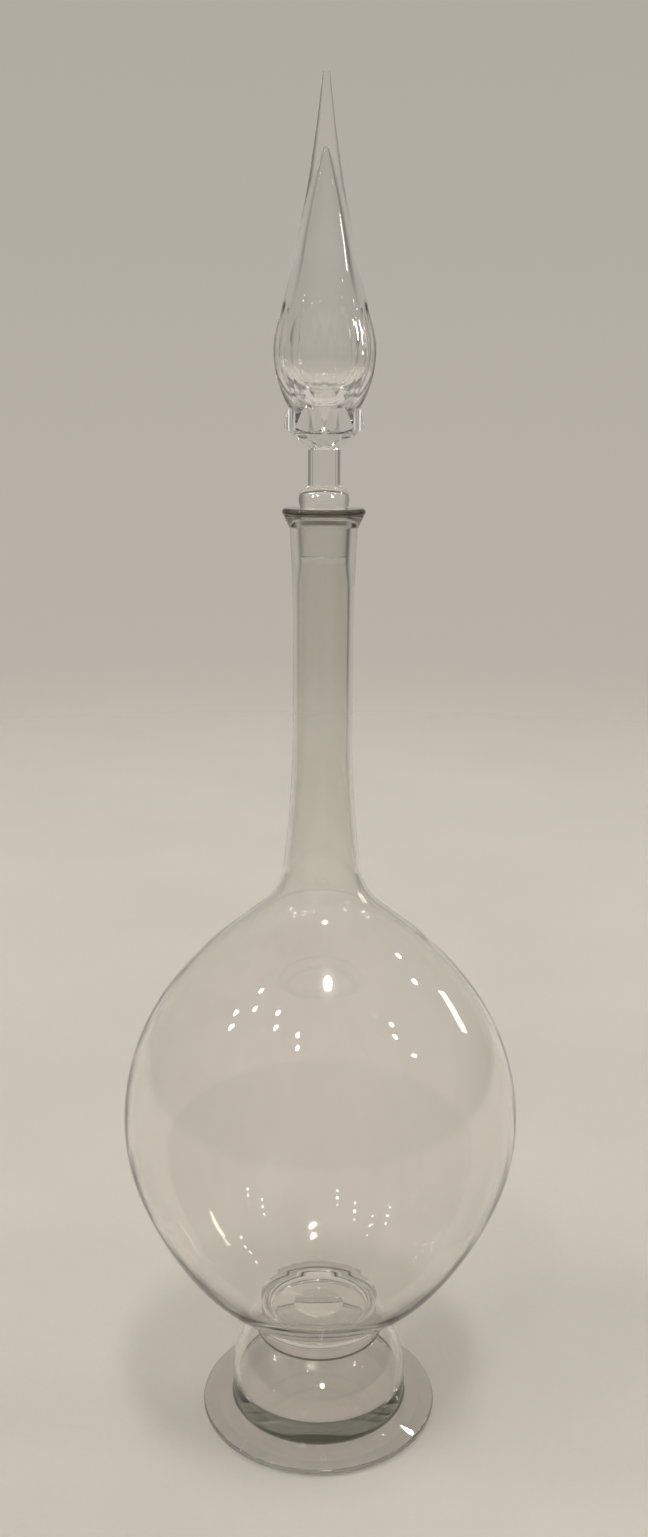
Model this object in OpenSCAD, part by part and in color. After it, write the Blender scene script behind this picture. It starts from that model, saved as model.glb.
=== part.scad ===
// Tall stoppered apothecary show carboy in clear blown glass: a large hollow globe with a long
// neck, carried on a hollow knop and a spread foot, and closed by a tall panel-cut spire stopper.
// Every piece is turned about the Z axis, and z = 0 is the surface that the foot stands on.

/* [Foot] */
// Outer radius of the spread foot
foot_r = 84.2; // [76:0.1:96]
// Height of the foot's rounded rim
foot_rim_h = 4.4; // [3:0.1:5.4]
// Height of the foot's crown, where the base disc is fused on
foot_crown_z = 8.4; // [7.5:0.1:10]
// Inner radius of the flat ring that the foot stands on
foot_ring_r = 72; // [66:0.5:76]
// How far the underside is pushed up inside that ring
foot_hollow = 3; // [1.5:0.1:4]

/* [Base disc and knop] */
// Height of the top of the solid base disc
disc_top_z = 24; // [18:0.1:28]
// How far the side of the base disc swells beyond the knop
disc_swell = 0.4; // [0.1:0.1:1.2]
// Radius of the hollow knop at its widest
knop_r = 62.4; // [56:0.1:66]
// Height of the knop's widest circle
knop_wide_z = 27; // [26:0.1:34]
// Radius of the knop's rounded shoulder, in section
knop_round = 43.2; // [40:0.1:46]
// Height of the crease where the knop meets the waist
waist_z = 61.5; // [56:0.1:64]
// Outer radius of the waist at its foot
waist_r = 44.8; // [42:0.1:45.2]
// How far the waist is drawn in at its middle
waist_draw = 0.8; // [0.2:0.1:2]
// Rounding of the waist's foot, which leaves a crease above the knop
crease_r = 1.2; // [0.6:0.1:1.6]
// Wall of the knop and the waist
knop_wall = 3.6; // [2.5:0.1:5]

/* [Globe] */
// Radius of the globe at its widest
globe_r = 136.1; // [125:0.1:145]
// Height of the globe's widest circle
globe_wide_z = 228; // [224:0.5:236]
// Wall of the globe at its widest
globe_wall = 4.1; // [3:0.1:5]
// How far the inside sits above the outside, which thickens the floor
floor_lift = 1; // [0:0.1:3]
// Radius of the low kick in the middle of the floor
kick_r = 18; // [12:0.5:24]
// Rise of that kick
kick_h = 1.8; // [0.8:0.1:3]

/* [Neck and mouth] */
// Outer radius of the neck where it is slimmest
neck_r = 19.6; // [18:0.1:21]
// Radius of the neck's bore
bore_r = 15.8; // [15:0.1:16.2]
// Height where the globe's shoulder ends and the neck begins
neck_z = 420; // [412:1:440]
// Height where the neck begins to widen towards the mouth
neck_flare_z = 560; // [540:1:575]
// Height of the underside of the mouth collar
collar_z = 633.5; // [626:0.5:634]
// Outer radius of the mouth collar at its lower edge
collar_low_r = 22.4; // [22:0.1:23.5]
// Outer radius of the mouth collar under the lip
collar_top_r = 25.6; // [24:0.1:26]
// Height of the underside of the lip ring
lip_z = 640.6; // [638:0.1:641]
// Height of the top of the lip ring
lip_top_z = 645.2; // [644:0.1:645.2]
// Outer radius of the lip ring
lip_r = 26.6; // [26.2:0.1:28]

/* [Ground stopper] */
// Height of the lower end of the ground plug
plug_z = 614.5; // [612:0.5:620]
// Radius of the plug at its lower end
plug_low_r = 14.35; // [13.8:0.05:14.6]
// Radius of the plug at its top
plug_top_r = 15.6; // [15.2:0.05:15.7]
// Running clearance between the plug and its socket
seat_gap = 0.05; // [0.02:0.01:0.08]
// Radius of the stopper's rounded shoulder
shoulder_r = 16.1; // [15.8:0.1:17.4]
// Radius of the shoulder where it meets the top of the plug
shoulder_low_r = 15.2; // [14.2:0.1:15.4]
// Radius of the cut stem, across its corners
stem_r = 10.2; // [9:0.1:10.6]
// Height of the top of the stem
stem_top_z = 681.2; // [676:0.1:686]

/* [Cut flange and spire] */
// Radius of the cut flange at its sharp edge
flange_r = 25; // [23:0.1:28]
// Height of the flange's sharp edge
flange_edge_z = 695; // [694:0.1:697]
// How far the flutes are hollowed between the flange's eight points
flute_depth = 1.6; // [1:0.1:3]
// Height where the spire stands on the flange
spire_z = 706.5; // [704:0.1:708]
// Radius of the spire at its widest, across its corners
spire_r = 31.8; // [28:0.1:34]
// Height of the spire's widest circle
spire_wide_z = 741; // [738:0.5:744]
// Height of the cut tip, which is the overall height
tip_z = 900; // [890:1:905]
// Distance of the spire's eight panels from its axis, at its widest
panel_r = 30.6; // [30.2:0.1:31.4]
// Radius of the spire's sealed bubble at its widest
bubble_r = 26.1; // [22:0.1:27]

/* [Hidden] */
$fn = 240;

clear_glass = [0.80, 0.84, 0.80, 0.45];
thick_glass = [0.52, 0.60, 0.52, 0.70];
ground_glass = [0.86, 0.88, 0.84, 0.85];
cut_glass = [0.88, 0.90, 0.90, 0.55];

reach = 200;              // wider than any turned outline
sides = 8;                // panels round the stem, the flange and the spire
flat = cos(180 / sides);  // a panel's distance from the axis, for a corner radius of 1
curve_gap = 0.02;         // the most that an outline's straight pieces stray from its true curve
axis_gap = 0.001;         // points closer to the axis than this are put on it

// ---- Outlines --------------------------------------------------------------------------------
// An outline is a run of tangent curves in the XZ half plane. It starts upright on a widest
// circle and runs up (way = 1) or down (way = -1). Each step is [radius, lean at its end]: the
// lean is measured from the vertical, a positive radius swells outwards and a negative one is
// hollow. A step of radius 0 is a straight run, and its third value is its height.

function last(list) = list[len(list) - 1];
function reversed(list) = [for (i = [len(list) - 1:-1:0]) list[i]];
function without_last(list) = [for (i = [0:1:len(list) - 2]) list[i]];

function pieces(radius, turn) = ceil(abs(turn) / (2 * acos(1 - curve_gap / abs(radius))));

// Points along one step, after its starting point
function step_points(start, step, lean, way) =
    step[0] == 0 ? [start + step[2] * [-tan(lean), way]] :
    let (turn = step[1] - lean, n = pieces(step[0], turn))
    [for (i = [1:n])
        let (a = lean + turn * i / n)
        start + step[0] * [cos(a) - cos(lean), way * (sin(a) - sin(lean))]];

// Points along all the steps, with both end points
function outline(start, steps, way, lean = 0, i = 0) =
    i == len(steps) ? [start] :
    let (run = step_points(start, steps[i], lean, way))
    concat([start], without_last(run), outline(last(run), steps, way, steps[i][1], i + 1));

// The same, carried on to the axis by a cap: part of a circle that is centred on the axis
function cap_curve(start, steps, way) = last(outline(start, steps, way)).x / cos(last(steps)[1]);
function capped(start, steps, way) =
    let (cap = [cap_curve(start, steps, way), 90])
    [for (p = outline(start, concat(steps, [cap]), way)) [p.x > axis_gap ? p.x : 0, p.y]];

// A shallow cap alone, from where its circle leans by "lean" up to the axis
function shallow_cap(start, lean, radius) =
    [for (p = outline(start, [[radius, 90]], 1, lean)) [p.x > axis_gap ? p.x : 0, p.y]];

// The side of a piece from bottom to top, where both outlines start on the same widest circle
function side(down, up) = concat(reversed(down), [for (i = [1:len(up) - 1]) up[i]]);

// The area between the axis and a side
module side_area(points) {
    polygon(concat([[0, points[0].y]], points, [[0, last(points).y]]));
}

// Keeps the part of a half-plane outline between two heights
module slice(low, high) {
    intersection() {
        children();
        translate([0, low]) square([reach, high - low]);
    }
}

// ---- The blown body: globe and neck in one outline ----------------------------------------------

low_leans = [20, 36, 61.7];       // leans where the globe's lower curves meet
high_leans = [36, 51];            // leans where its upper curves meet
shoulder_lean = 8;                // lean where the shoulder's hollow curve passes into the neck

outside_low = [134, 250, 150];    // radii of the lower outside curves, from the widest circle down
inside_low = [130, 240, 140];
outside_high = [150, 250];        // and of the upper ones, from the widest circle up
inside_high = [146, 246];
outside_hollow = [42, 688];       // radii of the two hollow curves that lead into the neck
inside_hollow = [46, 692];

function low_steps(radii) = [for (i = [0:2]) [radii[i], low_leans[i]]];

// Height of the straight run that brings a shoulder of these curves in to the radius "slim"
function shoulder_run(wide, slim, high, hollow) =
    (wide - slim
     - high[0] * (1 - cos(high_leans[0]))
     - high[1] * (cos(high_leans[0]) - cos(high_leans[1]))
     - hollow[0] * (cos(shoulder_lean) - cos(high_leans[1]))
     - hollow[1] * (1 - cos(shoulder_lean))) / tan(high_leans[1]);

function high_steps(wide, slim, high, hollow) = [
    [high[0], high_leans[0]],
    [high[1], high_leans[1]],
    [0, high_leans[1], shoulder_run(wide, slim, high, hollow)],
    [-hollow[0], shoulder_lean],
    [-hollow[1], 0]
];

outside_start = [globe_r, globe_wide_z];
inside_start = [globe_r - globe_wall, globe_wide_z + floor_lift];

outside_down = capped(outside_start, low_steps(outside_low), -1);
inside_down = capped(inside_start, low_steps(inside_low), -1);
outside_up = outline(outside_start, high_steps(globe_r, neck_r, outside_high, outside_hollow), 1);
inside_up = outline(inside_start, high_steps(inside_start.x, bore_r, inside_high, inside_hollow), 1);

// The neck is straight as far as neck_flare_z, and widens to the collar on one long hollow curve
flare_w = collar_low_r - 0.6 - neck_r;
flare_rise = collar_z - neck_flare_z;
flare_curve = (pow(flare_rise, 2) + pow(flare_w, 2)) / (2 * flare_w);
flare_up = outline([neck_r, neck_flare_z], [[-flare_curve, -asin(flare_rise / flare_curve)]], 1);

module blown_outside() {
    side_area(concat(side(outside_down, outside_up), flare_up));
}

// The ground socket: a slow cone, with a short throat that leads down into the wider bore
socket_lean = (plug_top_r - plug_low_r) / (lip_top_z - plug_z);
throat_z = plug_z - 3;
throat_h = 15;
above_lip_z = lip_top_z + 1;
function socket_point(z) = [plug_low_r + seat_gap + (z - plug_z) * socket_lean, z];
socket_side = [[bore_r, throat_z - throat_h], socket_point(throat_z), socket_point(above_lip_z)];

module blown_inside() {
    floor_curve = cap_curve(inside_start, low_steps(inside_low), -1);
    rim_z = last(inside_down).y + floor_curve - sqrt(pow(floor_curve, 2) - pow(kick_r, 2));
    kick_curve = (pow(kick_r, 2) + pow(kick_h, 2)) / (2 * kick_h);
    difference() {
        side_area(concat(side(inside_down, inside_up), socket_side));
        translate([0, rim_z + kick_h - kick_curve]) circle(r = kick_curve);
    }
}

module globe() {
    color(clear_glass) rotate_extrude()
    slice(0, neck_z)
    difference() {
        blown_outside();
        blown_inside();
    }
}

module neck() {
    color(clear_glass) rotate_extrude()
    slice(neck_z, collar_z)
    difference() {
        blown_outside();
        blown_inside();
    }
}

// ---- Mouth ------------------------------------------------------------------------------------

module mouth_collar() {
    color(clear_glass) rotate_extrude()
    difference() {
        side_area([[collar_low_r, collar_z], [collar_top_r, lip_z]]);
        side_area(socket_side);
    }
}

// A rounded bead of glass run round the mouth
module lip_ring() {
    lip_h = lip_top_z - lip_z;
    color(thick_glass) rotate_extrude()
    difference() {
        union() {
            translate([0, lip_z]) square([lip_r - lip_h / 2, lip_h]);
            translate([lip_r - lip_h / 2, lip_z + lip_h / 2]) circle(d = lip_h);
        }
        side_area(socket_side);
    }
}

// ---- Pedestal -----------------------------------------------------------------------------------

module foot() {
    rim_round = foot_rim_h / 2;
    hollow_curve = (pow(foot_ring_r, 2) + pow(foot_hollow, 2)) / (2 * foot_hollow);
    hollow_lean = acos(foot_ring_r / hollow_curve);
    color(clear_glass) rotate_extrude()
    difference() {
        union() {
            translate([foot_r - rim_round, rim_round]) circle(r = rim_round);
            polygon([[0, 0], [foot_r - rim_round, 0], [foot_r - rim_round, foot_rim_h],
                     [knop_low_r(), foot_crown_z], [0, foot_crown_z]]);
        }
        side_area(shallow_cap([foot_ring_r, 0], hollow_lean, hollow_curve));
    }
}

// A solid disc: its side is one shallow swelling curve from the foot up to the knop
module base_disc() {
    half_h = (disc_top_z - foot_crown_z) / 2;
    side_curve = (pow(half_h, 2) + pow(disc_swell, 2)) / (2 * disc_swell);
    edge_r = knop_low_r();
    widest = edge_r + side_curve - sqrt(pow(side_curve, 2) - pow(half_h, 2));
    color(thick_glass) rotate_extrude()
    intersection() {
        translate([0, foot_crown_z]) square([reach, 2 * half_h]);
        translate([widest - side_curve, foot_crown_z + half_h]) circle(r = side_curve);
    }
}

// The knop's outline is one round curve about this centre
knop_centre = [knop_r - knop_round, knop_wide_z];
function knop_low_r() = knop_centre.x + sqrt(pow(knop_round, 2) - pow(knop_wide_z - disc_top_z, 2));

module knop() {
    color(clear_glass) rotate_extrude()
    slice(disc_top_z, waist_z)
    difference() {
        translate(knop_centre) circle(r = knop_round);
        translate(knop_centre) circle(r = knop_round - knop_wall);
        square([waist_r - knop_wall, reach]);
    }
}

// A short hollow neck of glass between the knop and the underside of the globe
module waist() {
    tall = 24;                    // more than reaches the globe's underside at waist_r
    draw_curve = (pow(tall / 2, 2) + pow(waist_draw, 2)) / (2 * waist_draw);
    color(clear_glass) rotate_extrude()
    difference() {
        union() {
            translate([waist_r - knop_wall, waist_z]) square([knop_wall - crease_r, tall]);
            translate([waist_r - knop_wall, waist_z + crease_r]) square([knop_wall, tall - crease_r]);
            translate([waist_r - crease_r, waist_z + crease_r]) circle(r = crease_r);
        }
        translate([waist_r - waist_draw + draw_curve, waist_z + tall / 2]) circle(r = draw_curve);
        side_area(reversed(outside_down));
    }
}

// ---- Stopper --------------------------------------------------------------------------------------

shoulder_wide_z = lip_top_z + 5.5;
shoulder_low_z = lip_top_z + 0.4;
shoulder_start = [shoulder_r, shoulder_wide_z];
shoulder_up = outline(shoulder_start, [[8.8, 68]], 1);
stem_z = last(shoulder_up).y;

module ground_plug() {
    edge = 1.2;                   // rounding of the plug's lower edge
    color(ground_glass) rotate_extrude()
    union() {
        translate([plug_low_r - edge, plug_z + edge]) circle(r = edge);
        polygon([[0, plug_z], [plug_low_r - edge, plug_z], [plug_low_r - edge, plug_z + edge],
                 [plug_low_r + edge * socket_lean, plug_z + edge],
                 [plug_top_r, lip_top_z], [shoulder_low_r, shoulder_low_z], [0, shoulder_low_z]]);
    }
}

module stopper_shoulder() {
    drop = shoulder_wide_z - shoulder_low_z;
    inset = shoulder_r - shoulder_low_r;
    low_curve = (pow(drop, 2) + pow(inset, 2)) / (2 * inset);
    shoulder_down = outline(shoulder_start, [[low_curve, asin(drop / low_curve)]], -1);
    color(cut_glass) rotate_extrude()
    side_area(side(shoulder_down, shoulder_up));
}

module stem() {
    color(cut_glass) translate([0, 0, stem_z])
    cylinder(h = stem_top_z - stem_z, r = stem_r, $fn = sides);
}

// A turned flange with a sharp edge, cut into eight points by hollow flutes
module cut_flange() {
    girdle = 0.6;                 // height of the narrow band under the sharp edge
    throat = [15.5, 687];         // where the underside turns out from the stem to the edge
    top_r = 22.3;
    point_half = 0.4;             // half the width of the land that is left on each point
    flute_half = flange_r * sin(180 / sides) - point_half;
    flute_curve = (pow(flute_half, 2) + pow(flute_depth, 2)) / (2 * flute_depth);
    color(cut_glass) difference() {
        rotate_extrude()
        polygon([[0, stem_top_z], [stem_r, stem_top_z], throat,
                 [flange_r - girdle / 2, flange_edge_z - girdle],
                 [flange_r, flange_edge_z], [top_r, spire_z], [0, spire_z]]);
        for (k = [0:sides - 1])
            rotate(360 / sides * (k + 0.5))
            translate([flange_r * flat - flute_depth + flute_curve, 0, stem_top_z - 1])
            cylinder(h = spire_z - stem_top_z + 2, r = flute_curve);
    }
}

// The spire is turned, and its bowl is cut into panels. Each pair of opposite panels is a straight
// cut that lies inside the turned outline low down, and runs out of it a little above the widest.
run_on = 30;                      // straight ends of the outlines, past the spire's own ends
corner_up = [[42, 15.5], [-920, 6], [0, 6, run_on]];
corner_down = [[66, 31.5], [0, 31.5, run_on]];
panel_lean = 9.8;
panel_up = [[1, panel_lean], [0, panel_lean, tip_z - spire_wide_z]];
panel_down = [[63.5, 32.9], [0, 32.9, run_on]];
bubble_wide_z = spire_wide_z - 2.6;
bubble_up = [[80, 20.2], [-164, 8.6], [577, 14.5]];
bubble_down = [[26, 40]];

function spire_side(wide, down, up) =
    let (start = [wide, spire_wide_z])
    side(outline(start, down, -1), outline(start, up, 1));

module panel_pair() {
    edge = spire_side(panel_r, panel_down, panel_up);
    rotate([90, 0, 0]) linear_extrude(height = 2 * reach, center = true)
    polygon(concat(edge, [for (p = reversed(edge)) [-p.x, p.y]]));
}

module bubble() {
    start = [bubble_r, bubble_wide_z];
    rotate_extrude() side_area(side(capped(start, bubble_down, -1), capped(start, bubble_up, 1)));
}

module spire() {
    color(cut_glass) difference() {
        intersection() {
            rotate_extrude() slice(spire_z, tip_z)
            side_area(spire_side(spire_r, corner_down, corner_up));
            intersection_for (k = [0:sides / 2 - 1])
                rotate(360 / sides * (k + 0.5)) panel_pair();
        }
        bubble();
    }
}

foot();
base_disc();
knop();
waist();
globe();
neck();
mouth_collar();
lip_ring();
ground_plug();
stopper_shoulder();
stem();
cut_flange();
spire();
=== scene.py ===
"""Looks for the stoppered show carboy. Every glass piece is its own closed, turned or cut solid."""

import math

import bpy
from mathutils import Matrix, Vector


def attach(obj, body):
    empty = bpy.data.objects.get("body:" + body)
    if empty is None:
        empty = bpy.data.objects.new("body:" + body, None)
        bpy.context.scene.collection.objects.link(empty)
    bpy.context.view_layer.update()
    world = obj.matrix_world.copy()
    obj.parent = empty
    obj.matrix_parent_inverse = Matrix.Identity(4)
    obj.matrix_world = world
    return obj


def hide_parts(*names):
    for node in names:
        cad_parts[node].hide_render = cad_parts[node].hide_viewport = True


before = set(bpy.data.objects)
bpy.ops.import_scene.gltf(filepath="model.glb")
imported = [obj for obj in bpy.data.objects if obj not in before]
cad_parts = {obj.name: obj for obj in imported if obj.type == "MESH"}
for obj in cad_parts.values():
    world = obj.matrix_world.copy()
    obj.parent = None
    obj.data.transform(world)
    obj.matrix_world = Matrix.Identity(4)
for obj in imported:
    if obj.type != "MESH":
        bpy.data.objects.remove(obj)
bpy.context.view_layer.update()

MM = 0.001
AROUND = 256  # points round a turned ring, a multiple of the stopper's eight sides
ACROSS, ROUND_STEPS = 6, 10  # steps across a cut panel, and round the glass between two panels
FLUTE_STEPS, LAND_STEPS = 10, 5  # steps on each half of a flute, and on the land beside it
MERGE = 0.001  # how near two lengths lie that count as one, in millimetres
GLASS, JOINT, GROUND, OTHER = 0, 1, 2, 3  # material slots of every piece

# ---- Outlines ----------------------------------------------------------------------------------
# A point of an outline is (r, z, nr, nz) in millimetres, with its surface's own normal. A step is
# (radius, lean at its end) or, for a straight run, (0, lean, height). The lean is measured from
# the vertical; a positive radius swells outwards and a negative one is hollow.


def step_points(start, step, lean, way):
    """The points (r, z, lean) of one step, without its first."""
    r, z = start
    if step[0] == 0:
        a = math.radians(lean)
        n = max(1, round(abs(step[2]) / 8))
        return [
            (r - step[2] * math.tan(a) * i / n, z + way * step[2] * i / n, lean)
            for i in range(1, n + 1)
        ]
    turn = step[1] - lean
    length = abs(math.radians(turn) * step[0])
    n = max(2, math.ceil(abs(turn) / 4), math.ceil(length / 4))
    n = min(n, max(4, math.ceil(length / 0.25)))
    a0 = math.radians(lean)
    points = []
    for i in range(1, n + 1):
        a = math.radians(lean + turn * i / n)
        x = r + step[0] * (math.cos(a) - math.cos(a0))
        y = z + way * step[0] * (math.sin(a) - math.sin(a0))
        points.append((x, y, math.degrees(a)))
    return points


def outline(start, steps, way, lean=0.0):
    """Points along tangent curves that run up (way = 1) or down (way = -1) from start."""
    points = [(start[0], start[1], lean)]
    for step in steps:
        points += step_points(points[-1][:2], step, points[-1][2], way)
    return [
        (r, z, math.cos(math.radians(a)), way * math.sin(math.radians(a)))
        for r, z, a in points
    ]


def capped(start, steps, way):
    """The same, carried on to the axis by part of a circle that is centred on it."""
    r = outline(start, steps, way)[-1][0]
    points = outline(start, [*steps, (r / math.cos(math.radians(steps[-1][1])), 90)], way)
    return points[:-1] + [(0.0, points[-1][1], 0.0, float(way))]


def side(down, up):
    """One outline from bottom to top, where both start on the same widest circle."""
    return down[::-1] + up[1:]


def blend_points(a, b, t):
    """The outline's point between a and b, a share t of the way along."""
    r, z, nr, nz = (x + (y - x) * t for x, y in zip(a, b))
    size = math.hypot(nr, nz) or 1.0
    return (r, z, nr / size, nz / size)


def part(points, low, high, key=1):
    """The stretch of an outline between two heights (key = 1) or two radii (key = 0)."""
    kept = []
    for a, b in zip(points, points[1:]):
        if low <= a[key] <= high and (not kept or kept[-1] != a):
            kept.append(a)
        cuts = [c for c in (low, high) if min(a[key], b[key]) < c < max(a[key], b[key])]
        for c in sorted(cuts, key=lambda c: (c - a[key]) / (b[key] - a[key])):
            kept.append(blend_points(a, b, (c - a[key]) / (b[key] - a[key])))
    if low <= points[-1][key] <= high:
        kept.append(points[-1])
    return kept


def turned_over(points):
    """The same outline as the inside of a wall: its normals look the other way."""
    return [(r, z, -nr, -nz) for r, z, nr, nz in points]


def flat_ring(z, r0, r1, way, steps=1):
    """A level stretch between two radii that looks up (way = 1) or down (way = -1)."""
    return [(r0 + (r1 - r0) * i / steps, z, 0.0, way) for i in range(steps + 1)]


def line(a, b, steps=1):
    """A straight stretch from a to b, with its normal to the right of the way it runs."""
    dr, dz = b[0] - a[0], b[1] - a[1]
    size = math.hypot(dr, dz)
    return [
        (a[0] + dr * i / steps, a[1] + dz * i / steps, dz / size, -dr / size)
        for i in range(steps + 1)
    ]


def arc(centre, radius, start, end, way=1.0):
    """Part of a circle between two angles, with normals away from its centre (way = 1)."""
    n = max(4, math.ceil(abs(end - start) / 6), math.ceil(radius * abs(end - start) / 57 / 4))
    points = []
    for i in range(n + 1):
        a = math.radians(start + (end - start) * i / n)
        c, s = math.cos(a), math.sin(a)
        points.append((centre[0] + radius * c, centre[1] + radius * s, way * c, way * s))
    return points


def bend(a, corner, b, n=20):
    """A smooth bend from a to b inside a corner, with normals to the right of the way it runs."""
    points = []
    for i in range(n + 1):
        t = i / n
        r, z = ((1 - t) ** 2 * a[k] + 2 * t * (1 - t) * corner[k] + t * t * b[k] for k in (0, 1))
        dr, dz = ((1 - t) * (corner[k] - a[k]) + t * (b[k] - corner[k]) for k in (0, 1))
        size = math.hypot(dr, dz)
        points.append((r, z, dz / size, -dr / size))
    return points


# ---- Solids ------------------------------------------------------------------------------------


class Solid:
    """A closed mesh made of patches, each with its own exact normals and material slot."""

    def __init__(self):
        self.index, self.verts = {}, []
        self.faces, self.normals, self.slots = [], [], []

    def vert(self, p):
        key = tuple(round(x, 4) for x in p)
        if key not in self.index:
            self.index[key] = len(self.verts)
            self.verts.append(tuple(x * MM for x in p))
        return self.index[key]

    def face(self, corners, slot):
        """corners are (point, normal) pairs; the face is turned to agree with its normals."""
        points = [Vector(p) for p, _ in corners]
        mean = sum((Vector(n) for _, n in corners), Vector())
        normal = Vector()
        for i, p in enumerate(points):
            normal += (p - points[0]).cross(points[(i + 1) % len(points)] - points[0])
        if normal.dot(mean) < 0:
            corners = corners[::-1]
        ids, seen = [], []
        for p, n in corners:
            v = self.vert(p)
            if v not in ids:
                ids.append(v)
                seen.append(n)
        if len(ids) > 2:
            self.faces.append(ids)
            self.normals += seen
            self.slots.append(slot)

    def loops(self, rings, slot):
        """Joins closed rings of (point, normal) pairs. A ring of one pair is a pole."""
        for a, b in zip(rings, rings[1:]):
            n = max(len(a), len(b))
            for i in range(n):
                j = (i + 1) % n
                quad = [a[i % len(a)], a[j % len(a)], b[j % len(b)], b[i % len(b)]]
                if len(a) == 1:
                    quad = [a[0], b[j], b[i]]
                elif len(b) == 1:
                    quad = [a[i], a[j], b[0]]
                self.face(quad, slot)

    def turned(self, points, slot=GLASS):
        """A stretch of outline, turned round the axis."""
        self.loops([turned_ring(*p) for p in points], slot)

    def object(self, name):
        """The finished mesh as an object of the scene, with its own normals."""
        mesh = bpy.data.meshes.new(name)
        mesh.from_pydata(self.verts, [], self.faces)
        mesh.polygons.foreach_set("material_index", self.slots)
        mesh.polygons.foreach_set("use_smooth", [True] * len(self.faces))
        mesh.normals_split_custom_set(self.normals)
        mesh.update()
        piece = bpy.data.objects.new(name, mesh)
        bpy.context.scene.collection.objects.link(piece)
        return piece


def turned_ring(r, z, nr, nz):
    """One outline point, turned round the axis into a ring of (point, normal) pairs."""
    if r < MERGE:
        return [((0.0, 0.0, z), (0.0, 0.0, nz))]
    ring = []
    for i in range(AROUND):
        a = 2 * math.pi * i / AROUND
        c, s = math.cos(a), math.sin(a)
        ring.append(((r * c, r * s, z), (nr * c, nr * s, nz)))
    return ring


def cap_ring(ring, way):
    """The same points, with the normals of a level face."""
    return [(p, (0.0, 0.0, way)) for p, _ in ring]


# ---- Dimensions, in millimetres, as in the part ------------------------------------------------

FOOT_R, FOOT_RIM_H, CROWN_Z, RING_R, HOLLOW = 84.2, 4.4, 8.4, 72.0, 3.0
DISC_TOP_Z, DISC_SWELL = 24.0, 0.4
KNOP_R, KNOP_WIDE_Z, KNOP_ROUND, KNOP_WALL = 62.4, 27.0, 43.2, 3.6
WAIST_Z, WAIST_R, WAIST_DRAW, CREASE_R = 61.5, 44.8, 0.8, 1.2
GLOBE_R, GLOBE_WIDE_Z, GLOBE_WALL, FLOOR_LIFT = 136.1, 228.0, 4.1, 1.0
KICK_R, KICK_H = 18.0, 1.8
NECK_R, BORE_R, NECK_Z, FLARE_Z = 19.6, 15.8, 420.0, 560.0
COLLAR_Z, COLLAR_LOW_R, COLLAR_TOP_R = 633.5, 22.4, 25.6
LIP_Z, LIP_TOP_Z, LIP_R = 640.6, 645.2, 26.6
PLUG_Z, PLUG_LOW_R, PLUG_TOP_R, SEAT_GAP = 614.5, 14.35, 15.6, 0.05
SHOULDER_R, SHOULDER_LOW_R, STEM_R, STEM_TOP_Z = 16.1, 15.2, 10.2, 681.2
FLANGE_R, FLANGE_EDGE_Z, FLUTE_DEPTH, POINT_HALF, FLANGE_TOP_R = 25.0, 695.0, 1.6, 0.4, 22.3
SPIRE_Z, SPIRE_R, SPIRE_WIDE_Z, TIP_Z = 706.5, 31.8, 741.0, 900.0
PANEL_R, BUBBLE_R, BUBBLE_WIDE_Z = 30.6, 26.1, 738.4
SIDES = 8
FLAT = math.cos(math.pi / SIDES)
COLLAR_EASE, MOUTH_EASE, PLUG_EASE = 0.25, 0.7, 1.2
SHOULDER_CURVE = (8.8, 68)
THROAT_R, FLANGE_LOW_Z, GIRDLE = 15.5, 687, 0.6
BEVEL_STEM, BEVEL_SPIRE = 1.2, 0.9  # half the width of a fine bevel, in degrees
TIP_EASE, TIP_INSET = 0.35, 0.3

# ---- The blown body ----------------------------------------------------------------------------

LOW_LEANS, HIGH_LEANS, SHOULDER_LEAN = (20, 36, 61.7), (36, 51), 8


def blown_up(start, slim, high, hollow):
    """The upper outline of the globe, drawn in through its shoulder to the radius "slim"."""
    c = [math.cos(math.radians(a)) for a in (*HIGH_LEANS, SHOULDER_LEAN)]
    run = start[0] - slim - high[0] * (1 - c[0]) - high[1] * (c[0] - c[1])
    run -= hollow[0] * (c[2] - c[1]) + hollow[1] * (1 - c[2])
    straight = run / math.tan(math.radians(HIGH_LEANS[1]))
    steps = [
        (high[0], HIGH_LEANS[0]),
        (high[1], HIGH_LEANS[1]),
        (0, HIGH_LEANS[1], straight),
        (-hollow[0], SHOULDER_LEAN),
        (-hollow[1], 0),
    ]
    return outline(start, steps, 1)


outside_start = (GLOBE_R, GLOBE_WIDE_Z)
inside_start = (GLOBE_R - GLOBE_WALL, GLOBE_WIDE_Z + FLOOR_LIFT)
outside_down = capped(outside_start, list(zip((134, 250, 150), LOW_LEANS)), -1)
inside_down = capped(inside_start, list(zip((130, 240, 140), LOW_LEANS)), -1)
outside_up = blown_up(outside_start, NECK_R, (150, 250), (42, 688))
inside_up = blown_up(inside_start, BORE_R, (146, 246), (46, 692))

flare_w, flare_rise = COLLAR_LOW_R - 0.6 - NECK_R, COLLAR_Z - FLARE_Z
flare_curve = (flare_rise**2 + flare_w**2) / (2 * flare_w)
flare = outline(
    (NECK_R, FLARE_Z), [(-flare_curve, -math.degrees(math.asin(flare_rise / flare_curve)))], 1
)
straight_neck = line(outside_up[-1][:2], flare[0][:2], 6)
outside = side(outside_down, outside_up) + straight_neck[1:-1] + flare

SOCKET_LEAN = (PLUG_TOP_R - PLUG_LOW_R) / (LIP_TOP_Z - PLUG_Z)
THROAT_Z, THROAT_H = PLUG_Z - 3, 15


def socket_r(z):
    """Radius of the ground socket at a height."""
    return PLUG_LOW_R + SEAT_GAP + (z - PLUG_Z) * SOCKET_LEAN


def socket(low, high):
    """The socket's wall between two heights, from the top down."""
    return line((socket_r(high), high), (socket_r(low), low), 3)


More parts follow.
